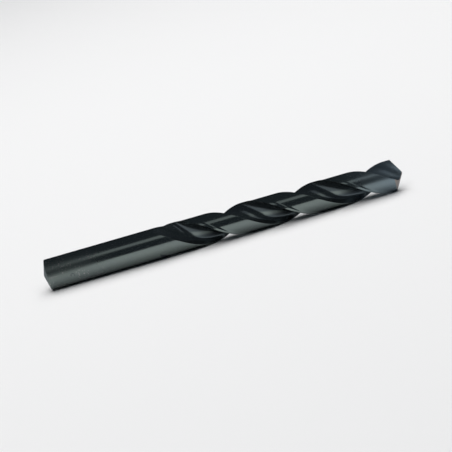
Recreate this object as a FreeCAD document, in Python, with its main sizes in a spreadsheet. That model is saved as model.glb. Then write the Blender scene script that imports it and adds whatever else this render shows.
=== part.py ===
import FreeCAD, Part

# Twist drill bit, jobber length, 13 mm, right hand, lying on its side.
#
# The drill is built upright, shank end at the bottom and point at the top, and laid along X last.
# It is one bar: a round blank with a shallow cone turned on its shank end and a body that tapers
# a little from the point back to the shank, a point ground by two tilted cones, and two helical
# flutes with the land clearance behind each margin.

import math
import os

import Sketcher

# Driving sizes: alias, value in millimetres or degrees, what it is
SIZES = [
    ("diameter", 13.0, "across the margins at the point"),
    ("back_taper", 0.08, "loss of diameter from the point to the shank"),
    ("overall_length", 152.0, "shank end to chisel edge"),
    ("flute_length", 104.0, "chisel edge to the end of the run-out"),
    ("helix_lead", 60.2, "length of one full turn of a flute"),
    ("point_angle", 118.0, "angle between the two lips"),
    ("web_thickness", 2.0, "core between the flutes at the point"),
    ("web_growth", 0.016, "gain of the core for each mm towards the shank"),
    ("flute_width_angle", 92.5, "leading corner to the heel of the next land"),
    ("margin_width", 0.9, "ground strip at the leading corner, along the arc"),
    ("land_clearance", 0.25, "how far the land lies under the margin"),
    ("heel_lean", 24.0, "lean of the heel wall from the radius"),
    ("runout_length", 14.0, "stretch over which the flute rises to the shank"),
    ("lip_relief", 2.5, "tilt of the flank about its lip"),
    ("flank_cone_angle", 112.0, "full angle of the cone that the flank is ground to"),
    ("flank_cone_offset", 2.0, "lip line from the drill axis to that cone's tip"),
    ("shank_cone_angle", 151.0, "full angle of the shallow cone on the shank end"),
    ("shank_end_flat", 1.2, "diameter of the flat left at that cone's middle"),
    ("shank_edge_break", 0.3, "width of the broken edge round the shank end"),
    ("roll_at_rest", -7.0, "turn of the drill about its axis as it lies"),
]

# Shape of a flute wall, as shares of the drill's radius
BOTTOM_FULLNESS = 0.5
HEEL_FULLNESS = 0.36

FLUTES = 2
STEP_ANGLE = 20.0
WALL_POINTS = 10
SPARE = 0.6


def make_sheet(doc):
    """The driving sizes, one row each, with the value under its alias."""
    sheet = doc.addObject("Spreadsheet::Sheet", "Sizes")
    for row, (alias, value, meaning) in enumerate(SIZES, start=1):
        sheet.set(f"A{row}", alias)
        sheet.set(f"B{row}", str(value))
        sheet.set(f"C{row}", meaning)
        sheet.setAlias(f"B{row}", alias)
    doc.recompute()
    return sheet


def origin_plane(body, role):
    """The body's own origin plane or axis of that role."""
    return next(item for item in body.Origin.OriginFeatures if item.Role == role)


def make_blank(doc):
    """The turned bar: half its outline, revolved about the axis."""
    body = doc.addObject("PartDesign::Body", "blank")
    sketch = body.newObject("Sketcher::SketchObject", "blank_outline")
    sketch.AttachmentSupport = [(origin_plane(body, "YZ_Plane"), "")]
    sketch.MapMode = "FlatFace"

    corners = [(0, 0), (1, 0), (6, 2), (7, 3), (7, 48), (8, 150), (0, 150)]
    for start, end in zip(corners, corners[1:] + corners[:1]):
        sketch.addGeometry(
            Part.LineSegment(FreeCAD.Vector(*start, 0), FreeCAD.Vector(*end, 0)), False
        )
    end_flat, end_cone, edge_break, shank, fluted, top, axis = range(len(corners))
    for line in range(len(corners)):
        sketch.addConstraint(
            Sketcher.Constraint("Coincident", line, 2, (line + 1) % len(corners), 1)
        )
    sketch.addConstraint(Sketcher.Constraint("Coincident", end_flat, 1, -1, 1))
    for line in (end_flat, top):
        sketch.addConstraint(Sketcher.Constraint("Horizontal", line))
    for line in (shank, axis):
        sketch.addConstraint(Sketcher.Constraint("Vertical", line))

    def size(kind, where, value, expression):
        index = sketch.addConstraint(Sketcher.Constraint(kind, *where, value))
        sketch.setExpression(f"Constraints[{index}]", expression)

    size("DistanceX", (-1, 1, end_flat, 2), 0.6, "Sizes.shank_end_flat / 2")
    size("Angle", (-1, 1, end_cone, 1), 0.25, "(180 - Sizes.shank_cone_angle) / 2 * 1 deg")
    size("DistanceX", (edge_break, 1, edge_break, 2), 0.3, "Sizes.shank_edge_break")
    size("DistanceY", (edge_break, 1, edge_break, 2), 0.3, "Sizes.shank_edge_break")
    size("DistanceX", (-1, 1, shank, 2), 6.5, "(Sizes.diameter - Sizes.back_taper) / 2")
    size("DistanceY", (-1, 1, shank, 2), 48, "Sizes.overall_length - Sizes.flute_length")
    size("DistanceX", (-1, 1, fluted, 2), 6.5, "Sizes.diameter / 2")
    # The bar starts a little long, because the point is ground from it
    size("DistanceY", (-1, 1, fluted, 2), 154, "Sizes.overall_length + Sizes.web_thickness")

    turned = body.newObject("PartDesign::Revolution", "turned_bar")
    turned.Profile = sketch
    turned.ReferenceAxis = (sketch, ["V_Axis"])
    turned.Angle = 360
    body.Tip = turned
    return body


class Drill:
    """Values that the flutes and the point share, worked out from the sheet."""

    def __init__(self, sheet):
        for alias, _, _ in SIZES:
            setattr(self, alias, float(sheet.get(alias)))
        self.radius = self.diameter / 2
        self.half_web = self.web_thickness / 2
        self.half_point = math.radians(self.point_angle / 2)
        self.turn_rate = 2 * math.pi / self.helix_lead
        self.lip_reach = math.sqrt(self.radius**2 - self.half_web**2)
        self.lip_middle = self.lip_line_height()
        self.corner_height = self.lip_middle - self.lip_reach / math.tan(self.half_point)

    def flank_cone(self):
        """Tip of the first flank's cone, measured from the lip line over the drill axis, and the
        direction of its axis. The lip lies on the cone, which is tilted about it by the relief."""
        lip = FreeCAD.Vector(math.sin(self.half_point), 0, -math.cos(self.half_point))
        outward = FreeCAD.Vector(math.cos(self.half_point), 0, math.sin(self.half_point))
        relief = math.radians(self.lip_relief)
        normal = outward * math.cos(relief) - FreeCAD.Vector(0, math.sin(relief), 0)
        half_cone = math.radians(self.flank_cone_angle / 2)
        tip = FreeCAD.Vector(0, self.half_web, 0) - lip * self.flank_cone_offset
        axis = lip * math.cos(half_cone) - normal * math.sin(half_cone)
        return tip, axis

    def lip_line_height(self):
        """Height of the lip line over the axis that puts the chisel edge at the overall length:
        the drill's axis leaves the cone there."""
        tip, axis = self.flank_cone()
        spread = math.cos(math.radians(self.flank_cone_angle / 2)) ** 2
        flat = FreeCAD.Vector(-tip.x, -tip.y, 0)
        along = flat.dot(axis)
        a = axis.z**2 - spread
        b = 2 * along * axis.z
        c = along**2 - spread * flat.dot(flat)
        rise = (-b - math.sqrt(b**2 - 4 * a * c)) / (2 * a)
        return self.overall_length - (tip.z + rise)


def polar(radius, angle):
    return FreeCAD.Vector(radius * math.cos(angle), radius * math.sin(angle), 0)


def between(first, last, count=WALL_POINTS):
    """Evenly spaced values from the first to the last."""
    return [first + (last - first) * index / (count - 1) for index in range(count)]


def smooth_edge(points):
    """A smooth edge through the points. Its even spacing lets the edges of all the outlines
    join into one plain surface."""
    curve = Part.BSplineCurve()
    curve.interpolate(Points=points, Parameters=[float(index) for index in range(len(points))])
    return curve.toShape()


def rake_wall(drill, half_web, outer):
    """Points of the cutting side of a flute, from outside the drill in to the web. They are a
    straight lip, each point wound back along the helix to the height of the lip's corner."""
    per_reach = drill.turn_rate / math.tan(drill.half_point)
    corner_angle = math.asin(half_web / drill.radius)
    reach_at_corner = math.sqrt(drill.radius**2 - half_web**2)
    longest = math.sqrt(outer**2 - half_web**2)
    points = []
    for reach in between(longest, 0):
        angle = math.atan2(half_web, reach) - per_reach * (reach_at_corner - reach)
        points.append((math.hypot(reach, half_web), angle - corner_angle))
    return points


def flute_section(drill, height):
    """Closed outline of all that is missing between the back of one margin and the next leading
    corner, at one height: flute, land clearance and a strip outside the bar."""
    depth = drill.overall_length - height
    half_web = (drill.web_thickness + drill.web_growth * depth) / 2
    lift = flute_lift(drill, height, half_web)
    outer = drill.radius + SPARE
    floor = drill.radius - drill.land_clearance
    heel = math.radians(drill.flute_width_angle)
    margin_back = 2 * math.pi / FLUTES - drill.margin_width / drill.radius

    rake = rake_wall(drill, half_web, outer)
    web_angle = rake[-1][1]
    bottom = polar(half_web, web_angle)
    bottom_pull = polar(BOTTOM_FULLNESS * drill.radius, web_angle + math.pi / 2)
    heel_end = polar(floor, heel)
    heel_pull = polar(HEEL_FULLNESS * drill.radius, heel - math.radians(drill.heel_lean))
    heel_side = Part.BezierCurve()
    heel_side.setPoles([bottom, bottom + bottom_pull, heel_end - heel_pull, heel_end])
    walls = [
        [polar(*point) for point in rake],
        [heel_side.value(share) for share in between(0, 1)],
        [polar(floor, angle) for angle in between(heel, margin_back)],
        [polar(radius, margin_back) for radius in between(floor, outer)],
        [polar(outer, angle) for angle in between(margin_back, rake[0][1])],
    ]

    turn = drill.turn_rate * (height - drill.corner_height)
    turn += math.asin(drill.half_web / drill.radius)

    def place(point):
        """Lift the point off the axis and wind it along the helix."""
        radius = point.Length + lift
        angle = math.atan2(point.y, point.x) + turn
        return FreeCAD.Vector(radius * math.cos(angle), radius * math.sin(angle), height)

    return Part.Wire([smooth_edge([place(point) for point in wall]) for wall in walls])


def flute_lift(drill, height, half_web):
    """How far the cutter has risen: nothing along the flute, and an arc in the run-out that
    ends clear of the bar."""
    runout_top = drill.overall_length - drill.flute_length + drill.runout_length
    into_runout = max(0.0, runout_top - height) / drill.runout_length
    return (drill.radius - half_web) * into_runout**2


def make_flute_spaces(doc, drill):
    """The two helical cuts, each lofted through outlines that turn with height."""
    bottom = drill.overall_length - drill.flute_length - SPARE
    top = drill.overall_length + drill.web_thickness + SPARE
    steps = math.ceil((top - bottom) * drill.turn_rate / math.radians(STEP_ANGLE))
    outlines = [
        flute_section(drill, bottom + (top - bottom) * index / steps)
        for index in range(steps + 1)
    ]
    cut = Part.makeLoft(outlines, True, False)
    spaces = []
    for index in range(FLUTES):
        space = doc.addObject("Part::Feature", f"flute_space_{index + 1}")
        space.Shape = cut
        turn = FreeCAD.Rotation(FreeCAD.Vector(0, 0, 1), 360 * index / FLUTES)
        space.Placement = FreeCAD.Placement(FreeCAD.Vector(), turn)
        spaces.append(space)
    return spaces


def make_flank_cones(doc, drill):
    """The cones that the two flanks are ground to. Each opens down over the whole bar."""
    tip, axis = drill.flank_cone()
    tip += FreeCAD.Vector(0, 0, drill.lip_middle)
    upright = FreeCAD.Placement(tip, FreeCAD.Rotation(FreeCAD.Vector(0, 0, 1), axis))
    cones = []
    for index in range(FLUTES):
        cone = doc.addObject("Part::Cone", f"flank_cone_{index + 1}")
        cone.Radius1 = 0
        cone.setExpression("Height", "Sizes.overall_length + 2 * Sizes.diameter")
        cone.setExpression("Radius2", "Height * tan(Sizes.flank_cone_angle / 2 * 1 deg)")
        turn = FreeCAD.Rotation(FreeCAD.Vector(0, 0, 1), 360 * index / FLUTES)
        cone.Placement = FreeCAD.Placement(FreeCAD.Vector(), turn) * upright
        cones.append(cone)
    return cones


def make_drill(doc, drill, blank):
    """Cut the flutes, grind the point and lay the drill on its side along X."""
    spaces = doc.addObject("Part::Compound", "flute_spaces")
    spaces.Links = make_flute_spaces(doc, drill)
    fluted = doc.addObject("Part::Cut", "fluted_bar")
    fluted.Base = blank
    fluted.Tool = spaces
    finished = doc.addObject("Part::MultiCommon", "twist_drill")
    finished.Label = "twist_drill"
    finished.Shapes = [fluted] + make_flank_cones(doc, drill)
    lay_down = FreeCAD.Rotation(FreeCAD.Vector(0, 1, 0), 90)
    roll = FreeCAD.Rotation(FreeCAD.Vector(0, 0, 1), drill.roll_at_rest)
    middle = FreeCAD.Vector(-drill.overall_length / 2, 0, drill.radius)
    finished.Placement = FreeCAD.Placement(middle, lay_down * roll)
    return finished


def check(doc, pieces):
    """Stop on any feature that failed and on any piece that isn't one valid solid."""
    for item in doc.Objects:
        if "Invalid" in item.State or "Error" in item.State:
            raise RuntimeError(f"{item.Label} failed: {item.State}")
    for piece in pieces:
        shape = piece.Shape
        if shape.isNull() or not shape.isValid() or len(shape.Solids) != 1:
            raise RuntimeError(f"{piece.Label} is not one valid solid")


def main():
    doc = FreeCAD.newDocument("TwistDrill")
    sheet = make_sheet(doc)
    drill = Drill(sheet)
    blank = make_blank(doc)
    finished = make_drill(doc, drill, blank)
    doc.recompute()
    pieces = [finished]
    check(doc, pieces)
    os.makedirs("parts", exist_ok=True)
    for piece in pieces:
        piece.Shape.exportStep(f"parts/{piece.Label}.step")
        print(f"{piece.Label}: {piece.Shape.Volume:.1f} mm3")


main()
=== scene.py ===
"""Looks of a 13 mm twist drill bit: blackened steel with helical flutes, on a pale floor."""

import math

import bpy
import numpy as np
from bpy.props import FloatProperty, FloatVectorProperty, PointerProperty
from mathutils import Matrix, Vector


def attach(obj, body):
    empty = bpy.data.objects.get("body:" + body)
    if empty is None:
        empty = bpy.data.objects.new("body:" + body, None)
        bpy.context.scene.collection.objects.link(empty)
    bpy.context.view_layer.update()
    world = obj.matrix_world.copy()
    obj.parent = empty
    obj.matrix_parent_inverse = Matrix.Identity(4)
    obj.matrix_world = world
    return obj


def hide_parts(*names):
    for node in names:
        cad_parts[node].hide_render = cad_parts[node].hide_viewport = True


bl_info = {
    "name": "Twist drill bit",
    "version": (1, 0, 0),
    "blender": (4, 5, 0),
    "location": "3D View > Sidebar > Drill",
    "description": "Builds a twist drill bit of blackened steel and the stage that it lies on",
    "category": "Add Mesh",
}

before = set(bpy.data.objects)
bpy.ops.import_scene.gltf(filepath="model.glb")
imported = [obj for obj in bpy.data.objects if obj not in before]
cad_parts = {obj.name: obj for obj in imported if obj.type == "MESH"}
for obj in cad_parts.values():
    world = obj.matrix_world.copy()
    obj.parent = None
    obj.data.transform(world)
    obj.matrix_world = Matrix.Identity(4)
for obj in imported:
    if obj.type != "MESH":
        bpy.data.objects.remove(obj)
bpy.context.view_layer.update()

PIECE_NAME = "drill_body"
TREE_NAME = "Helical drill"
FLANK_MASK = "ground_flank"
FLUTE_MASK = "in_flute"

# Shape of a flute wall, as shares of the drill's radius
BOTTOM_FULLNESS = 0.5
HEEL_FULLNESS = 0.36

# How strongly the rounded heel is pulled toward its corner: not at all at 0, and most at 1
HEEL_ROUNDNESS = 0.6

# How finely the strips of the drill's surface are divided
RAKE_COLUMNS = 18
HEEL_COLUMNS = 26
ROUND_COLUMNS = 6
LAND_COLUMNS = 30
STEP_COLUMNS = 5
MARGIN_COLUMNS = 6
FLUTE_ROWS = 320
BARREL_ROWS = 12
CONE_SIDES = 720

# Edges that turn more than this stay crisp, and points closer than this are one
SHARP_ANGLE = math.radians(24)
WELD = 2e-6

# How far down the cones that grind the flanks reach, as a share of the drill's length
CONE_REACH = 1.3

# Values of the flute mask: off the flutes, on the web, and where a wall meets the outside
OFF_FLUTE = 0.0
FLUTE_BOTTOM = 0.5
BLACK_WALL = 1.0

# The mask's value from which a flute wall is darkened by painted shade in full
BLACK_FROM = 0.60

# How much of the finish is metal: most of it, and less on the flute walls with painted shade and on
# the stretch behind the point
MOST_METAL = 0.985
LESS_METAL = 0.86

# The ring of dried oil: its middle, its radius, and how far its line fades, as a share of that
STAIN_SPOT = (-0.0643, -0.0063, 0.0052)
STAIN_RADIUS = 0.0007
STAIN_LINE = 0.6

# Patterns of the finish: how fine the noise is, its detail, and how it is squeezed along X, Y and Z
EVENLY = (1, 1, 1)
OXIDE_CLOUDS = (160.0, 3.0, (0.5, 1, 1))
HANDLED_PATCHES = (260.0, 4.0, EVENLY)
RUB_AND_HIGHLIGHT_PATCHES = (700.0, 3.0, EVENLY)
OIL_PATCHES = (900.0, 2.0, EVENLY)
WHEEL_RINGS = (900.0, 4.0, (4.0, 0.15, 0.15))
FLUTE_GRAIN = (1600.0, 3.0, EVENLY)
SPECKLE_FINENESS = 1100.0

# Between which values of its pattern each mask goes from none to full
SPECKLE_LIMITS = (0.42, 0.20)
HANDLED_LIMITS = (0.38, 0.80)
CORNER_LIMITS = (0.53, 0.62)
RUB_AND_HIGHLIGHT_LIMITS = (0.35, 0.70)
OIL_LIMITS = (0.40, 0.55)

# How much the gloss varies, how high the grinding marks stand, and the steel's tint edge-on
GLOSS_SPREAD = 0.10
MARK_HEIGHT = 0.00002
EDGE_TINT = (0.45, 0.47, 0.5, 1)

# Sockets of a Mix node for numbers and for colours: the share, both ends and the result
MIX_SOCKETS = {"FLOAT": (0, 2, 3, 0), "RGBA": (0, 6, 7, 2)}

# Where each light stands, its width and depth, and whether the steel mirrors it
KEY_LIGHT = ((0, 0.7, 1.1), (1.2, 1.0), False)
FILL_LIGHT = ((0, -0.35, 1.2), (1.6, 1.6), False)
SOFTBOX = ((0, -0.8, 1.2), (1.6, 0.5), True)

# What the steel mirrors round it, and what the camera sees behind the floor
DIM_STUDIO = (0.044, 0.052, 0.064, 1)
PALE_BACKDROP = (0.9, 0.9, 0.9, 1)

# Finish of the matt floor
FLOOR_ROUGHNESS = 0.9
FLOOR_GLOSS = 0.1

# Where on the drill's axis the picture is centred, and how far its centre lies off that point
PICTURE_SPOT = -0.002954
PICTURE_OFFSET = (0.003980, 0.000137)

# Focal length in millimetres, and the nearest and farthest that the camera sees
LONG_LENS = 200.0
NEAR_CLIP = 0.01
FAR_CLIP = 20.0


class DrillSizes(bpy.types.PropertyGroup):
    """Sizes of the drill."""

    diameter: FloatProperty(
        name="Diameter",
        description="Across the margins at the point",
        default=0.013,
        unit="LENGTH",
    )
    back_taper: FloatProperty(
        name="Back taper",
        description="Loss of diameter from the point to the shank",
        default=0.00008,
        unit="LENGTH",
    )
    overall_length: FloatProperty(
        name="Overall length",
        description="Shank end to chisel edge",
        default=0.152,
        unit="LENGTH",
    )
    flute_length: FloatProperty(
        name="Flute length",
        description="Chisel edge to the end of the run-out",
        default=0.104,
        unit="LENGTH",
    )
    lead: FloatProperty(
        name="Lead",
        description="Length of one full turn of a flute",
        default=0.0602,
        unit="LENGTH",
    )
    point_angle: FloatProperty(
        name="Point angle",
        description="Angle between the two lips",
        default=math.radians(118),
        subtype="ANGLE",
    )
    web: FloatProperty(
        name="Web",
        description="Core between the flutes at the point",
        default=0.002,
        unit="LENGTH",
    )
    web_growth: FloatProperty(
        name="Web growth",
        description="Gain of the core towards the shank, as a share of the distance",
        default=0.016,
    )
    flute_width: FloatProperty(
        name="Flute width",
        description="Angle from a leading corner to the heel of the next land",
        default=math.radians(92.5),
        subtype="ANGLE",
    )
    margin_width: FloatProperty(
        name="Margin width",
        description="Ground strip at the leading corner, along the arc",
        default=0.0009,
        unit="LENGTH",
    )
    land_clearance: FloatProperty(
        name="Land clearance",
        description="How far the land lies under the margin",
        default=0.00025,
        unit="LENGTH",
    )
    step_width: FloatProperty(
        name="Step width",
        description="Slope from the land up to the margin, along the arc",
        default=0.0009,
        unit="LENGTH",
    )
    heel_lean: FloatProperty(
        name="Heel lean",
        description="Lean of the heel wall from the radius",
        default=math.radians(24),
        subtype="ANGLE",
    )
    heel_blend: FloatProperty(
        name="Heel blend",
        description="How far the rounding of the heel reaches on both sides of its corner",
        default=0.0003,
        unit="LENGTH",
    )
    runout: FloatProperty(
        name="Run-out",
        description="Stretch over which the flute rises to the shank",
        default=0.016,
        unit="LENGTH",
    )
    lip_relief: FloatProperty(
        name="Lip relief",
        description="Tilt of the flank about its lip",
        default=math.radians(2.5),
        subtype="ANGLE",
    )
    flank_cone_angle: FloatProperty(
        name="Flank cone angle",
        description="Full angle of the cone that the flank is ground to",
        default=math.radians(112),
        subtype="ANGLE",
    )
    flank_cone_offset: FloatProperty(
        name="Flank cone offset",
        description="Lip line from the drill axis to that cone's tip",
        default=0.002,
        unit="LENGTH",
    )
    shank_cone_angle: FloatProperty(
        name="Shank cone angle",
        description="Full angle of the shallow cone on the shank end",
        default=math.radians(151),
        subtype="ANGLE",
    )
    shank_end_flat: FloatProperty(
        name="Shank end flat",
        description="Diameter of the flat at the middle of that cone",
        default=0.0012,
        unit="LENGTH",
    )
    shank_edge_break: FloatProperty(
        name="Shank edge break",
        description="Width of the broken edge round the shank end",
        default=0.0003,
        unit="LENGTH",
    )
    roll: FloatProperty(
        name="Roll",
        description="Turn of the drill about its axis as it lies",
        default=math.radians(-7),
        subtype="ANGLE",
    )


class DrillFinish(bpy.types.PropertyGroup):
    """Colours and gloss of the drill."""

    oxide_colour: FloatVectorProperty(
        name="Oxide colour",
        description="What the blackened steel reflects",
        subtype="COLOR",
        size=3,
        default=(0.176, 0.212, 0.190),
    )
    oxide_patches: FloatVectorProperty(
        name="Oxide patches",
        description="What the oxide reflects where the film is thicker",
        subtype="COLOR",
        size=3,
        default=(0.150, 0.176, 0.182),
    )
    # Painted shade: the darker colour of the flute walls
    flute_shade_colour: FloatVectorProperty(
        name="Flute colour",
        description="What the blacker sides of a flute reflect",
        subtype="COLOR",
        size=3,
        default=(0.072, 0.088, 0.095),
    )
    # A lighter, bluer colour over the stretch behind the point, fading in along the drill
    point_colour: FloatVectorProperty(
        name="Point colour",
        description="What the duller, used stretch behind the point reflects",
        subtype="COLOR",
        size=3,
        default=(0.185, 0.240, 0.280),
    )
    point_zone_strength: FloatProperty(
        name="Point wear",
        description="How far the stretch behind the point is dulled",
        subtype="FACTOR",
        min=0.0,
        max=1.0,
        default=0.75,
    )
    point_zone_from: FloatProperty(
        name="Used from",
        description="Where along the drill the dulling behind the point starts",
        unit="LENGTH",
        default=0.046,
    )
    point_zone_to: FloatProperty(
        name="Used to",
        description="Where along the drill that dulling is full",
        unit="LENGTH",
        default=0.072,
    )
    # Bare steel on speckles; on rubbed corners bare steel and a painted highlight
    bare_and_highlight_colour: FloatVectorProperty(
        name="Bare steel",
        description="What rubbed edges and speckles reflect",
        subtype="COLOR",
        size=3,
        default=(0.46, 0.45, 0.43),
    )
    flank_colour: FloatVectorProperty(
        name="Flank colour",
        description="What the ground flanks of the point reflect",
        subtype="COLOR",
        size=3,
        default=(0.270, 0.243, 0.228),
    )
    stain_colour: FloatVectorProperty(
        name="Stain colour",
        description="What the ring of dried oil on the shank reflects",
        subtype="COLOR",
        size=3,
        default=(0.055, 0.060, 0.070),
    )
    stain_depth: FloatProperty(
        name="Stain depth",
        description="How plain that ring is",
        default=0.7,
        min=0.0,
        max=1.0,
        subtype="FACTOR",
    )
    roughness: FloatProperty(
        name="Roughness",
        description="How satin the oxide is",
        default=0.18,
        min=0.0,
        max=1.0,
        subtype="FACTOR",
    )
    handled_roughness: FloatProperty(
        name="Handled roughness",
        description="How dull the shank end and the stretch behind the point are",
        default=0.42,
        min=0.0,
        max=1.0,
        subtype="FACTOR",
    )
    flank_roughness: FloatProperty(
        name="Flank roughness",
        description="How satin the ground flanks are",
        default=0.38,
        min=0.0,
        max=1.0,
        subtype="FACTOR",
    )
    # Rubbed bare corners, with a painted highlight along them
    edge_wear_and_highlight: FloatProperty(
        name="Edge wear",
        description="How bare the corners are rubbed",
        default=0.35,
        min=0.0,
        max=1.0,
        subtype="FACTOR",
    )
    mark_depth: FloatProperty(
        name="Mark depth",
        description="Strength of the grinding marks",
        default=0.25,
        min=0.0,
        max=1.0,
        subtype="FACTOR",
    )
    handled_from: FloatProperty(
        name="Handled from",
        description="Where along the drill the dulled shank end begins",
        default=-0.040,
        unit="LENGTH",
    )
    handled_to: FloatProperty(
        name="Handled to",
        description="Where along the drill it is fully dull",
        default=-0.070,
        unit="LENGTH",
    )


class StageSettings(bpy.types.PropertyGroup):
    """Floor, lights and camera."""

    floor_colour: FloatVectorProperty(
        name="Floor colour",
        description="Colour of the pale floor",
        subtype="COLOR",
        size=3,
        default=(0.86, 0.855, 0.85),
    )
    floor_size: FloatProperty(
        name="Floor size",
        description="Side of the square floor",
        default=3.0,
        unit="LENGTH",
    )
    key_power: FloatProperty(
        name="Key power",
        description="Power of the high light behind, in watts",
        default=11.0,
        min=0.0,
    )
    fill_power: FloatProperty(
        name="Fill power",
        description="Power of the overhead light in front, in watts",
        default=13.0,
        min=0.0,
    )
    softbox_power: FloatProperty(
        name="Softbox power",
        description="Power of the dim light in front, in watts",
        default=1.1,
        min=0.0,
    )
    camera_elevation: FloatProperty(
        name="Camera elevation",
        description="Angle of the camera above the floor",
        default=math.radians(14),
        subtype="ANGLE",
    )
    camera_roll: FloatProperty(
        name="Camera roll",
        description="How far the drill rises to the right in the picture",
        default=math.radians(16.13),
        subtype="ANGLE",
    )
    picture_width: FloatProperty(
        name="Picture width",
        description="Width of what the camera sees",
        default=0.18443,
        unit="LENGTH",
    )


def bezier(controls, share):
    """A smooth curve with four control points."""
    start, pull, lean, end = controls
    rest = 1 - share
    spot = start * rest**3 + pull * 3 * rest**2 * share
    return spot + lean * 3 * rest * share**2 + end * share**3


def turned_to(angle):
    """Unit vectors, as complex numbers, at these angles."""
    return np.exp(1j * angle)


class FluteSection:
    """The drill's cross-section at given heights, in the flute's own turn."""

    def __init__(self, sizes, height):
        radius = sizes.diameter / 2
        flute_end = sizes.overall_length - sizes.flute_length
        climb = np.maximum(height - flute_end, 0)
        self.depth_share = ease(np.clip(climb / sizes.runout, 0, 1))
        depth = sizes.overall_length - height
        self.half_web = (sizes.web + sizes.web_growth * depth) / 2
        up_the_flutes = climb / (sizes.flute_length + sizes.web)
        self.bar_radius = radius - sizes.back_taper / 2 * (1 - up_the_flutes)
        self.land_bottom = radius - sizes.land_clearance
        self.margin_back = math.pi - sizes.margin_width / radius
        self.land_end = self.margin_back - sizes.step_width / radius
        self.land_start = sizes.flute_width + sizes.heel_blend / radius
        self.full_reach = np.sqrt(radius**2 - self.half_web**2)
        self.wind_back = 2 * math.pi / sizes.lead / math.tan(sizes.point_angle / 2)
        self.web_angle = self.rake(0 * self.half_web)[1]
        self.heel_curve = self.make_heel(sizes, radius)
        # The curve ends at a speed of three times the distance of its last two control points
        self.heel_stop = 1 - sizes.heel_blend / (3 * HEEL_FULLNESS * radius)

    def rake(self, reach):
        """Radius and angle of a point of the cutting wall: a straight lip wound back."""
        angle = np.arctan2(self.half_web, reach) - np.arctan2(self.half_web, self.full_reach)
        return np.hypot(reach, self.half_web), angle - self.wind_back * (self.full_reach - reach)

    def make_heel(self, sizes, radius):
        """Control points of the wall that rises from the web to the heel."""
        start = self.half_web * turned_to(self.web_angle)
        end = self.land_bottom * turned_to(sizes.flute_width + 0 * self.web_angle)
        pull = start + radius * BOTTOM_FULLNESS * turned_to(self.web_angle + math.pi / 2)
        lean = end - radius * HEEL_FULLNESS * turned_to(sizes.flute_width - sizes.heel_lean)
        return start, pull, lean, end

    def rise(self, radius):
        """Where a wall's point lies once the cutter has risen by its share."""
        return self.bar_radius - (self.bar_radius - radius) * self.depth_share

    def spread(self, angle, across, start, end):
        """Angles that even out as the flute fades into the bar, so no wall folds over."""
        even = start + (end - start) * across
        return even + (angle - even) * np.sqrt(self.depth_share)


def ease(share):
    """Smooth from 0 to 1, level at both ends."""
    return share**3 * (10 - 15 * share + 6 * share**2)


def rake_strip(section, across):
    """Cutting wall of a flute, from the leading corner in to the web."""
    radius, angle = section.rake(section.full_reach * (1 - across))
    return section.rise(radius), section.spread(angle, across, 0, section.web_angle)


def heel_strip(section, across):
    """Wall from the web out to the rounding of the next land's heel."""
    spot = bezier(section.heel_curve, section.heel_stop * across)
    stop_angle = np.angle(bezier(section.heel_curve, section.heel_stop))
    angle = section.spread(np.angle(spot), across, section.web_angle, stop_angle)
    return section.rise(np.abs(spot)), angle


def round_strip(section, across):
    """Rounded heel, from the flute's wall over to the land."""
    heel = section.heel_curve[-1]
    start = bezier(section.heel_curve, section.heel_stop)
    end = section.land_bottom * turned_to(section.land_start)
    pull = start + (heel - start) * HEEL_ROUNDNESS
    lean = end + (heel - end) * HEEL_ROUNDNESS
    spot = bezier((start, pull, lean, end), across)
    angle = section.spread(np.angle(spot), across, np.angle(start), section.land_start)
    return section.rise(np.abs(spot)), angle


def land_strip(section, across):
    """Relieved outside of the land, from the heel to the foot of the step."""
    angle = section.land_start + (section.land_end - section.land_start) * across
    return section.rise(section.land_bottom) + 0 * angle, angle


def step_strip(section, across):
    """Small slope between the land and the margin, hollow at its foot."""
    low = section.rise(section.land_bottom)
    radius = low + (section.bar_radius - low) * across**2
    return radius, section.land_end + (section.margin_back - section.land_end) * across


def margin_strip(section, across):
    """Ground strip from its back to the leading corner."""
    angle = section.margin_back + (math.pi - section.margin_back) * across
    return section.bar_radius + 0 * angle, angle


# Each wall of the section, how many columns it has, and its flute mask at both sides
WALLS = (
    (rake_strip, RAKE_COLUMNS, (BLACK_WALL, FLUTE_BOTTOM)),
    (heel_strip, HEEL_COLUMNS, (FLUTE_BOTTOM, BLACK_WALL)),
    (round_strip, ROUND_COLUMNS, (OFF_FLUTE, OFF_FLUTE)),
    (land_strip, LAND_COLUMNS, (OFF_FLUTE, OFF_FLUTE)),
    (step_strip, STEP_COLUMNS, (OFF_FLUTE, OFF_FLUTE)),
    (margin_strip, MARGIN_COLUMNS, (OFF_FLUTE, OFF_FLUTE)),
)


class Surface:
    """Collects strips of quads into one mesh."""

    def __init__(self):
        self.spots = []
        self.faces = []
        self.in_flute = []
        self.count = 0

    def add_strip(self, radius, angle, height, in_flute=(OFF_FLUTE, OFF_FLUTE)):
        """Rows run up the drill and columns round it, with the flute mask at both sides."""
        radius, angle, height = np.broadcast_arrays(radius, angle, height)
        rows, columns = angle.shape
        spot = np.stack((radius * np.cos(angle), radius * np.sin(angle), height), axis=-1)
        self.spots.append(spot.reshape(-1, 3))
        number = self.count + np.arange(rows * columns).reshape(rows, columns)
        quads = np.stack(
            (number[:-1, :-1], number[:-1, 1:], number[1:, 1:], number[1:, :-1]), axis=-1
        )
        self.faces.append(quads.reshape(-1, 4))
        mask = np.linspace(*in_flute, columns - 1)
        self.in_flute.append(np.tile(mask, rows - 1))
        self.count += rows * columns

    def make(self, name):
        """The mesh of all strips, with the flute mask on its faces."""
        mesh = bpy.data.meshes.new(name)
        mesh.from_pydata(np.concatenate(self.spots), [], np.concatenate(self.faces))
        mask = mesh.attributes.new(FLUTE_MASK, "FLOAT", "FACE")
        mask.data.foreach_set("value", np.concatenate(self.in_flute))
        return mesh


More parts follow.
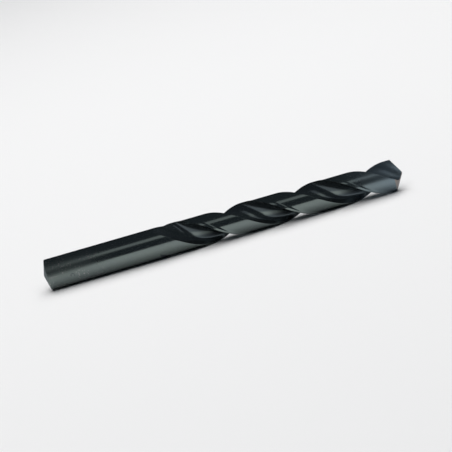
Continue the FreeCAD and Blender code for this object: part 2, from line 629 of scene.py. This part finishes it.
def add_fluted_length(surface, sizes):
    """The walls of one flute and one land, up past the point that is still to be ground."""
    flute_end = sizes.overall_length - sizes.flute_length
    top = sizes.overall_length + sizes.web
    height = np.linspace(flute_end, top, FLUTE_ROWS + 1)[:, None]
    section = FluteSection(sizes, height)
    # A fan of two rows, from the rim in to the axis, closes the top
    inward = np.array([[0.0], [1.0]])
    for strip, columns, in_flute in WALLS:
        across = np.linspace(0, 1, columns + 1)[None, :]
        radius, angle = strip(section, across)
        # Walls are worked out to the full radius, and the tapered bar is a little thinner
        radius = np.minimum(radius, section.bar_radius)
        surface.add_strip(radius, angle, height, in_flute)
        surface.add_strip(radius[-1:] * (1 - inward), angle[-1:], height[-1:])


def add_shank(surface, sizes):
    """The plain half of the bar: end flat, shallow cone, broken edge and barrel."""
    flute_end = sizes.overall_length - sizes.flute_length
    bar = (sizes.diameter - sizes.back_taper) / 2
    flat = sizes.shank_end_flat / 2
    cone = bar - sizes.shank_edge_break
    rise = (cone - flat) / math.tan(sizes.shank_cone_angle / 2)
    outline = (
        (0.0, 0.0),
        (flat, 0.0),
        (cone, rise),
        (bar, rise + sizes.shank_edge_break),
        (bar, flute_end),
    )
    section = FluteSection(sizes, np.array([[flute_end]]))
    for start, end in zip(outline, outline[1:]):
        along = np.linspace(start, end, BARREL_ROWS)
        for strip, columns, _ in WALLS:
            across = np.linspace(0, 1, columns + 1)[None, :]
            angle = strip(section, across)[1]
            surface.add_strip(along[:, :1], angle, along[:, 1:])


def feed(tree, slot, value):
    """Link a socket to what another node gives, or set it to a plain value."""
    if isinstance(value, bpy.types.NodeSocket):
        tree.links.new(value, slot)
    else:
        slot.default_value = value


def add(tree, kind, settings=(), **inputs):
    """A node with its settings, and its inputs given by name with _ for a space."""
    node = tree.nodes.new(kind)
    for name, value in dict(settings).items():
        setattr(node, name, value)
    by_name = {slot.name.lower().replace(" ", "_"): slot for slot in reversed(node.inputs)}
    for name, value in inputs.items():
        feed(tree, by_name[name], value)
    return node


def math_node(tree, operation, *values):
    """The result of one step of arithmetic."""
    node = tree.nodes.new("ShaderNodeMath")
    node.operation = operation
    for slot, value in zip(node.inputs, values):
        feed(tree, slot, value)
    return node.outputs[0]


def mark(tree, geometry, name, value):
    """Store a number on the mesh's faces for the finish to read."""
    settings = {"data_type": "FLOAT", "domain": "FACE"}
    node = add(
        tree, "GeometryNodeStoreNamedAttribute", settings, geometry=geometry, name=name, value=value
    )
    return node.outputs[0]


def both_sides(tree, part):
    """The part and its copy on the other side of the drill's axis."""
    copy = add(tree, "GeometryNodeTransform", geometry=part, rotation=(0, 0, math.pi))
    return [part, copy.outputs[0]]


def wind(tree, mesh, sizes):
    """Turn the straight flutes into helices, up from where they end."""
    spot = tree.nodes.new("GeometryNodeInputPosition").outputs[0]
    height = add(tree, "ShaderNodeSeparateXYZ", vector=spot).outputs[2]
    end = math_node(tree, "SUBTRACT", sizes["Overall length"], sizes["Flute length"])
    height = math_node(tree, "MAXIMUM", height, end)
    climb = math_node(tree, "SUBTRACT", height, sizes["Corner height"])
    turns = math_node(tree, "DIVIDE", climb, sizes["Lead"])
    angle = math_node(tree, "MULTIPLY_ADD", turns, 2 * math.pi, sizes["Corner turn"])
    turned = add(
        tree, "ShaderNodeVectorRotate", {"rotation_type": "Z_AXIS"}, vector=spot, angle=angle
    )
    moved = add(tree, "GeometryNodeSetPosition", geometry=mesh, position=turned.outputs[0])
    return moved.outputs[0]


def flank_cone(tree, sizes):
    """The cone that the first flank is ground to, open downwards over the whole bar."""
    reach = math_node(tree, "MULTIPLY", sizes["Overall length"], CONE_REACH)
    half_angle = math_node(tree, "MULTIPLY", sizes["Flank cone angle"], 0.5)
    slope = math_node(tree, "TANGENT", half_angle)
    cone = add(
        tree,
        "GeometryNodeMeshCone",
        {"fill_type": "TRIANGLE_FAN"},
        vertices=CONE_SIDES,
        radius_top=0.0,
        radius_bottom=math_node(tree, "MULTIPLY", reach, slope),
        depth=reach,
    )
    drop = add(tree, "ShaderNodeCombineXYZ", z=math_node(tree, "MULTIPLY", reach, -1.0))
    tip_up = add(
        tree, "GeometryNodeTransform", geometry=cone.outputs["Mesh"], translation=drop.outputs[0]
    )
    lean = add(tree, "FunctionNodeAlignRotationToVector", {"axis": "Z"}, vector=sizes["Cone axis"])
    placed = add(
        tree,
        "GeometryNodeTransform",
        geometry=tip_up.outputs[0],
        rotation=lean.outputs[0],
        translation=sizes["Cone tip"],
    )
    return mark(tree, placed.outputs[0], FLANK_MASK, 1.0)


def lay_down(tree, mesh, sizes):
    """Roll the upright drill and lay it along X on the floor."""
    roll = add(tree, "ShaderNodeCombineXYZ", z=sizes["Roll"])
    rolled = add(tree, "GeometryNodeTransform", geometry=mesh, rotation=roll.outputs[0])
    place = add(
        tree,
        "ShaderNodeCombineXYZ",
        x=math_node(tree, "MULTIPLY", sizes["Overall length"], -0.5),
        z=math_node(tree, "MULTIPLY", sizes["Diameter"], 0.5),
    )
    laid = add(
        tree,
        "GeometryNodeTransform",
        geometry=rolled.outputs[0],
        rotation=(0, math.pi / 2, 0),
        translation=place.outputs[0],
    )
    return laid.outputs[0]


# Inputs of the tree that are sizes of the drill
TREE_INPUTS = {
    "Diameter": "diameter",
    "Overall length": "overall_length",
    "Flute length": "flute_length",
    "Lead": "lead",
    "Flank cone angle": "flank_cone_angle",
    "Roll": "roll",
}

# Inputs of the tree that are worked out from those sizes
WORKED_OUT = {
    "Corner height": "NodeSocketFloat",
    "Corner turn": "NodeSocketFloat",
    "Cone tip": "NodeSocketVector",
    "Cone axis": "NodeSocketVector",
}


def drill_tree():
    """Doubles the straight half, winds it along the helix, grinds the point and lays it down."""
    tree = bpy.data.node_groups.new(TREE_NAME, "GeometryNodeTree")
    face = tree.interface
    face.new_socket("Geometry", in_out="INPUT", socket_type="NodeSocketGeometry")
    for name in TREE_INPUTS:
        face.new_socket(name, in_out="INPUT", socket_type="NodeSocketFloat")
    for name, kind in WORKED_OUT.items():
        face.new_socket(name, in_out="INPUT", socket_type=kind)
    face.new_socket("Material", in_out="INPUT", socket_type="NodeSocketMaterial")
    face.new_socket("Geometry", in_out="OUTPUT", socket_type="NodeSocketGeometry")
    sizes = {slot.name: slot for slot in tree.nodes.new("NodeGroupInput").outputs}

    whole = tree.nodes.new("GeometryNodeJoinGeometry")
    for half in both_sides(tree, sizes["Geometry"]):
        tree.links.new(half, whole.inputs[0])
    bar = wind(tree, whole.outputs[0], sizes)
    bar = add(tree, "GeometryNodeMergeByDistance", geometry=bar, distance=WELD).outputs[0]
    bar = mark(tree, bar, FLANK_MASK, 0.0)

    ground = tree.nodes.new("GeometryNodeMeshBoolean")
    ground.operation = "INTERSECT"
    ground.solver = "MANIFOLD"
    for solid in (bar, *both_sides(tree, flank_cone(tree, sizes))):
        tree.links.new(solid, ground.inputs["Mesh 2"])

    corner = tree.nodes.new("GeometryNodeInputMeshEdgeAngle").outputs[0]
    smooth = add(tree, "GeometryNodeSetShadeSmooth", geometry=ground.outputs[0])
    crisp = add(
        tree,
        "GeometryNodeSetShadeSmooth",
        {"domain": "EDGE"},
        geometry=smooth.outputs[0],
        selection=math_node(tree, "GREATER_THAN", corner, SHARP_ANGLE),
        shade_smooth=False,
    )
    laid = lay_down(tree, crisp.outputs[0], sizes)
    real = add(tree, "GeometryNodeRealizeInstances", geometry=laid)
    finish = add(
        tree, "GeometryNodeSetMaterial", geometry=real.outputs[0], material=sizes["Material"]
    )
    leave = tree.nodes.new("NodeGroupOutput")
    tree.links.new(finish.outputs[0], leave.inputs[0])
    return tree


def cone_over_lip(sizes):
    """Tip and axis of the first flank's cone over the lip line, with the lip lying on it."""
    half_point = sizes.point_angle / 2
    half_cone = sizes.flank_cone_angle / 2
    lip = Vector((math.sin(half_point), 0, -math.cos(half_point)))
    outward = Vector((math.cos(half_point), 0, math.sin(half_point)))
    tilt = Vector((0, math.sin(sizes.lip_relief), 0))
    normal = outward * math.cos(sizes.lip_relief) - tilt
    tip = Vector((0, sizes.web / 2, 0)) - lip * sizes.flank_cone_offset
    return tip, normal * math.sin(half_cone) - lip * math.cos(half_cone)


def worked_out(sizes):
    """What follows from the sizes: where the lip's corner lies, and how the cone stands."""
    tip, axis = cone_over_lip(sizes)
    spread = math.cos(sizes.flank_cone_angle / 2) ** 2
    flat = Vector((-tip.x, -tip.y, 0))
    along = flat.dot(axis)
    # The cone meets the drill's axis where this equation of the second degree is zero
    squared = axis.z**2 - spread
    linear = 2 * along * axis.z
    constant = along**2 - spread * flat.dot(flat)
    rise = (-linear - math.sqrt(linear * linear - 4 * squared * constant)) / (2 * squared)
    lip_height = sizes.overall_length - (tip.z + rise)
    reach = math.sqrt(sizes.diameter**2 - sizes.web**2) / 2
    return {
        "Corner height": lip_height - reach / math.tan(sizes.point_angle / 2),
        "Corner turn": math.asin(sizes.web / sizes.diameter),
        "Cone tip": tip + Vector((0, 0, lip_height)),
        "Cone axis": axis,
    }


def new_group(name, inputs, outputs):
    """An empty shader group with its sockets, and its inputs by name."""
    tree = bpy.data.node_groups.new(name, "ShaderNodeTree")
    for label, kind, value in inputs:
        slot = tree.interface.new_socket(label, in_out="INPUT", socket_type=kind)
        slot.default_value = value
    for label, kind in outputs:
        tree.interface.new_socket(label, in_out="OUTPUT", socket_type=kind)
    given = {slot.name: slot for slot in tree.nodes.new("NodeGroupInput").outputs}
    return tree, given, tree.nodes.new("NodeGroupOutput")


def mix(tree, kind, *values):
    """The low value at a share of 0, the high one at a share of 1, and between them."""
    node = add(tree, "ShaderNodeMix", {"data_type": kind})
    *slots, result = MIX_SOCKETS[kind]
    for index, value in zip(slots, values):
        feed(tree, node.inputs[index], value)
    return node.outputs[result]


def mix_colour(tree, share, low, high):
    """A colour between two others."""
    return mix(tree, "RGBA", share, low, high)


def mix_number(tree, share, low, high):
    """A number between two others."""
    return mix(tree, "FLOAT", share, low, high)


def ramp(tree, value, low, high):
    """0 at the first limit, 1 at the second one, and smooth between."""
    node = add(
        tree,
        "ShaderNodeMapRange",
        {"interpolation_type": "SMOOTHSTEP"},
        value=value,
        from_min=low,
        from_max=high,
    )
    return node.outputs[0]


def noise(tree, spot, pattern):
    """One of the patterns of the finish, laid on the piece."""
    scale, detail, squeeze = pattern
    placed = add(tree, "ShaderNodeMapping", vector=spot, scale=squeeze).outputs[0]
    node = add(tree, "ShaderNodeTexNoise", vector=placed, scale=scale, detail=detail)
    return node.outputs[0]


def speckle_group():
    """Small bright dots where handling has knocked the oxide off."""
    tree, given, leave = new_group(
        "handling speckle",
        (("Spot", "NodeSocketVector", (0, 0, 0)), ("Amount", "NodeSocketFloat", 0.5)),
        (("Mask", "NodeSocketFloat"),),
    )
    dots = add(tree, "ShaderNodeTexVoronoi", vector=given["Spot"], scale=SPECKLE_FINENESS)
    dots = ramp(tree, dots.outputs["Distance"], *SPECKLE_LIMITS)
    patches = ramp(tree, noise(tree, given["Spot"], HANDLED_PATCHES), *HANDLED_LIMITS)
    both = math_node(tree, "MULTIPLY", dots, patches)
    tree.links.new(math_node(tree, "MULTIPLY", both, given["Amount"]), leave.inputs[0])
    return tree


def marks_group():
    """Fine relief: rings that the wheel left round the bar, and an even grain in the flutes."""
    tree, given, leave = new_group(
        "grinding marks",
        (("Spot", "NodeSocketVector", (0, 0, 0)), ("In flute", "NodeSocketFloat", 0.0)),
        (("Height", "NodeSocketFloat"),),
    )
    rings = noise(tree, given["Spot"], WHEEL_RINGS)
    grain = noise(tree, given["Spot"], FLUTE_GRAIN)
    height = mix_number(tree, given["In flute"], rings, grain)
    tree.links.new(height, leave.inputs[0])
    return tree


def use_group(tree, group, **inputs):
    """What a shader group gives for these inputs."""
    return add(tree, "ShaderNodeGroup", {"node_tree": group}, **inputs).outputs[0]


def stain(tree, spot):
    """A faint ring that a drop of oil has left on the shank."""
    reach = add(tree, "ShaderNodeVectorMath", {"operation": "DISTANCE"})
    for slot, value in zip(reach.inputs, (spot, STAIN_SPOT)):
        feed(tree, slot, value)
    off_ring = math_node(tree, "SUBTRACT", reach.outputs["Value"], STAIN_RADIUS)
    off_ring = math_node(tree, "ABSOLUTE", off_ring)
    ring = ramp(tree, off_ring, STAIN_RADIUS * STAIN_LINE, 0.0)
    ragged = ramp(tree, noise(tree, spot, OIL_PATCHES), *OIL_LIMITS)
    return math_node(tree, "MULTIPLY", ring, ragged)


def face_mask(tree, name):
    """A number that the mesh holds on its faces."""
    return add(tree, "ShaderNodeAttribute", {"attribute_name": name}).outputs["Fac"]


def oxide_material(finish):
    """Steam-blackened steel, with painted shade darkening the walls of the flutes.

    It is dull at both ends, speckled at the shank end, lighter and bluer behind the point and
    browner on the ground flanks, and its rubbed corners carry a painted highlight.
    """
    material = bpy.data.materials.new("blackened steel")
    material.use_nodes = True
    tree = material.node_tree
    shader = tree.nodes["Principled BSDF"]
    spot = tree.nodes.new("ShaderNodeTexCoord").outputs["Object"]
    flank = face_mask(tree, FLANK_MASK)
    in_flute = face_mask(tree, FLUTE_MASK)
    along = add(tree, "ShaderNodeSeparateXYZ", vector=spot).outputs[0]

    # Where the finish changes
    handled = ramp(tree, along, finish.handled_from, finish.handled_to)
    # The stretch behind the point: lighter and bluer, duller and less metal
    toward_point = ramp(tree, along, finish.point_zone_from, finish.point_zone_to)
    point_zone = math_node(tree, "MULTIPLY", toward_point, finish.point_zone_strength)
    # Painted shade: the flute walls, all but a strip along their bottom, take the darker flute
    # shade colour
    blacker = ramp(tree, in_flute, FLUTE_BOTTOM, BLACK_FROM)
    clouds = noise(tree, spot, OXIDE_CLOUDS)
    speckle = use_group(tree, speckle_group(), spot=spot, amount=handled)
    # Rubbed bare corners with a painted highlight along them, found by pointiness and broken into
    # patches; speckles are bare steel
    sharp = tree.nodes.new("ShaderNodeNewGeometry").outputs["Pointiness"]
    patches = ramp(tree, noise(tree, spot, RUB_AND_HIGHLIGHT_PATCHES), *RUB_AND_HIGHLIGHT_LIMITS)
    rubbed_and_highlit = math_node(tree, "MULTIPLY", ramp(tree, sharp, *CORNER_LIMITS), patches)
    rubbed_and_highlit = math_node(tree, "MULTIPLY", rubbed_and_highlit, finish.edge_wear_and_highlight)
    bare_and_highlit = math_node(tree, "MAXIMUM", speckle, rubbed_and_highlit)
    stained = math_node(tree, "MULTIPLY", stain(tree, spot), finish.stain_depth)

    # Colour, one layer over the other
    colour = mix_colour(tree, clouds, (*finish.oxide_colour, 1), (*finish.oxide_patches, 1))
    for share, layer in (
        # painted shade on the flute walls
        (blacker, finish.flute_shade_colour),
        # a lighter, bluer stretch behind the point
        (point_zone, finish.point_colour),
        (flank, finish.flank_colour),
        # bare steel on speckles, and on corners bare steel with a painted highlight
        (bare_and_highlit, finish.bare_and_highlight_colour),
        (stained, finish.stain_colour),
    ):
        colour = mix_colour(tree, share, colour, (*layer, 1))
    tree.links.new(colour, shader.inputs["Base Color"])

    # Gloss, and how metallic the oxide looks
    dull = math_node(tree, "MAXIMUM", handled, point_zone)
    rough = mix_number(tree, dull, finish.roughness, finish.handled_roughness)
    rough = mix_number(tree, flank, rough, finish.flank_roughness)
    rough = math_node(tree, "MULTIPLY_ADD", clouds, GLOSS_SPREAD, rough)
    rough = math_node(tree, "SUBTRACT", rough, GLOSS_SPREAD / 2)
    tree.links.new(rough, shader.inputs["Roughness"])
    less_metal_share = math_node(tree, "MAXIMUM", blacker, point_zone)
    metal = mix_number(tree, less_metal_share, MOST_METAL, LESS_METAL)
    tree.links.new(metal, shader.inputs["Metallic"])
    shader.inputs["Specular Tint"].default_value = EDGE_TINT

    # Relief
    marks = use_group(tree, marks_group(), spot=spot, in_flute=in_flute)
    bump = add(
        tree, "ShaderNodeBump", height=marks, strength=finish.mark_depth, distance=MARK_HEIGHT
    )
    tree.links.new(bump.outputs[0], shader.inputs["Normal"])
    return material


def plain_mesh(piece):
    """Turn what the piece's modifier makes into its own mesh."""
    graph = bpy.context.evaluated_depsgraph_get()
    made = bpy.data.meshes.new_from_object(piece.evaluated_get(graph))
    piece.modifiers.clear()
    piece.data = made


class DRILL_OT_body(bpy.types.Operator):
    """Build the drill: shank, helical flutes, margins and ground point"""

    bl_idname = "drill.body"
    bl_label = "Drill body"

    def execute(self, context):
        sizes = context.scene.drill_sizes
        surface = Surface()
        add_fluted_length(surface, sizes)
        add_shank(surface, sizes)
        piece = bpy.data.objects.new(PIECE_NAME, surface.make(PIECE_NAME))
        context.collection.objects.link(piece)
        tree = drill_tree()
        maker = piece.modifiers.new("drill", "NODES")
        maker.node_group = tree
        given = {name: getattr(sizes, alias) for name, alias in TREE_INPUTS.items()}
        given.update(worked_out(sizes))
        given["Material"] = oxide_material(context.scene.drill_finish)
        for slot in tree.interface.items_tree:
            if slot.in_out == "INPUT" and slot.name in given:
                maker[slot.identifier] = given[slot.name]
        plain_mesh(piece)
        if not piece.data.polygons:
            raise RuntimeError("the drill came out empty")
        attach(piece, "root")
        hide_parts("twist_drill")
        return {"FINISHED"}


def area_light(name, power, spot, size, mirrored):
    """A rectangular light, turned to the middle of the floor under the drill."""
    lamp = bpy.data.lights.new(name, "AREA")
    lamp.shape = "RECTANGLE"
    lamp.size, lamp.size_y = size
    lamp.energy = power
    light = bpy.data.objects.new(name, lamp)
    light.location = spot
    light.rotation_euler = (Vector() - Vector(spot)).to_track_quat("-Z", "Y").to_euler()
    light.visible_glossy = mirrored
    bpy.context.collection.objects.link(light)


class DRILL_OT_stage(bpy.types.Operator):
    """Build the pale floor, the studio light and the camera"""

    bl_idname = "drill.stage"
    bl_label = "Floor, light and camera"

    def execute(self, context):
        stage = context.scene.drill_stage
        self.make_floor(context, stage)
        self.make_lights(stage)
        self.make_world(context)
        self.make_camera(context, stage)
        return {"FINISHED"}

    def make_floor(self, context, stage):
        """A matt square under the drill."""
        half = stage.floor_size / 2
        mesh = bpy.data.meshes.new("floor")
        corners = [(-half, -half, 0), (half, -half, 0), (half, half, 0), (-half, half, 0)]
        mesh.from_pydata(corners, [], [(0, 1, 2, 3)])
        floor = bpy.data.objects.new("floor", mesh)
        context.collection.objects.link(floor)
        pale = bpy.data.materials.new("pale floor")
        pale.use_nodes = True
        shader = pale.node_tree.nodes["Principled BSDF"]
        shader.inputs["Base Color"].default_value = (*stage.floor_colour, 1)
        shader.inputs["Roughness"].default_value = FLOOR_ROUGHNESS
        shader.inputs["Specular IOR Level"].default_value = FLOOR_GLOSS
        mesh.materials.append(pale)

    def make_lights(self, stage):
        """Two wide soft lights, and a dim one that the steel mirrors."""
        area_light("key", stage.key_power, *KEY_LIGHT)
        area_light("fill", stage.fill_power, *FILL_LIGHT)
        area_light("softbox", stage.softbox_power, *SOFTBOX)

    def make_world(self, context):
        """A dim room that the steel mirrors, and a pale backdrop for the camera."""
        world = bpy.data.worlds.new("dim studio")
        world.use_nodes = True
        context.scene.world = world
        tree = world.node_tree
        seen = add(tree, "ShaderNodeLightPath").outputs["Is Camera Ray"]
        shade = mix_colour(tree, seen, DIM_STUDIO, PALE_BACKDROP)
        ground = tree.nodes["Background"]
        ground.inputs["Strength"].default_value = 1.0
        tree.links.new(shade, ground.inputs["Color"])

    def make_camera(self, context, stage):
        """A long lens in front of the drill, rolled as in the picture."""
        rise = stage.camera_elevation
        right = Vector((1, 0, 0))
        up = Vector((0, math.sin(rise), math.cos(rise)))
        back = Vector((0, -math.cos(rise), math.sin(rise)))
        cosine, sine = math.cos(stage.camera_roll), math.sin(stage.camera_roll)
        picture_right = right * cosine - up * sine
        picture_up = right * sine + up * cosine
        sizes = context.scene.drill_sizes
        lens = bpy.data.cameras.new("camera")
        aim = Vector((PICTURE_SPOT, 0, sizes.diameter / 2))
        aim += picture_right * PICTURE_OFFSET[0] + picture_up * PICTURE_OFFSET[1]
        spot = aim + back * stage.picture_width * LONG_LENS / lens.sensor_width
        turn = Matrix((picture_right, picture_up, back)).transposed()
        lens.lens = LONG_LENS
        lens.clip_start = NEAR_CLIP
        lens.clip_end = FAR_CLIP
        camera = bpy.data.objects.new("camera", lens)
        camera.matrix_world = Matrix.Translation(spot) @ turn.to_4x4()
        context.collection.objects.link(camera)
        context.scene.camera = camera


class DRILL_PT_panel(bpy.types.Panel):
    """Drill, finish and stage"""

    bl_label = "Twist drill bit"
    bl_idname = "DRILL_PT_panel"
    bl_space_type = "VIEW_3D"
    bl_region_type = "UI"
    bl_category = "Drill"

    def draw(self, context):
        scene = context.scene
        for heading, group in (
            ("Sizes", scene.drill_sizes),
            ("Finish", scene.drill_finish),
            ("Stage", scene.drill_stage),
        ):
            box = self.layout.box()
            box.label(text=heading)
            for name in group.__annotations__:
                box.prop(group, name)
        for operator in OPERATORS:
            self.layout.operator(operator.bl_idname)


OPERATORS = (DRILL_OT_body, DRILL_OT_stage)
CLASSES = (DrillSizes, DrillFinish, StageSettings, *OPERATORS, DRILL_PT_panel)


def register():
    """Make the drill's settings and buttons known to Blender."""
    for kind in CLASSES:
        bpy.utils.register_class(kind)
    bpy.types.Scene.drill_sizes = PointerProperty(type=DrillSizes)
    bpy.types.Scene.drill_finish = PointerProperty(type=DrillFinish)
    bpy.types.Scene.drill_stage = PointerProperty(type=StageSettings)


def unregister():
    """Take them away again, the last one first."""
    del bpy.types.Scene.drill_stage
    del bpy.types.Scene.drill_finish
    del bpy.types.Scene.drill_sizes
    for kind in reversed(CLASSES):
        bpy.utils.unregister_class(kind)


def main():
    """Build the drill and its stage."""
    register()
    bpy.context.scene.view_settings.view_transform = "Standard"
    bpy.ops.drill.body()
    bpy.ops.drill.stage()


if __name__ == "__main__":
    main()
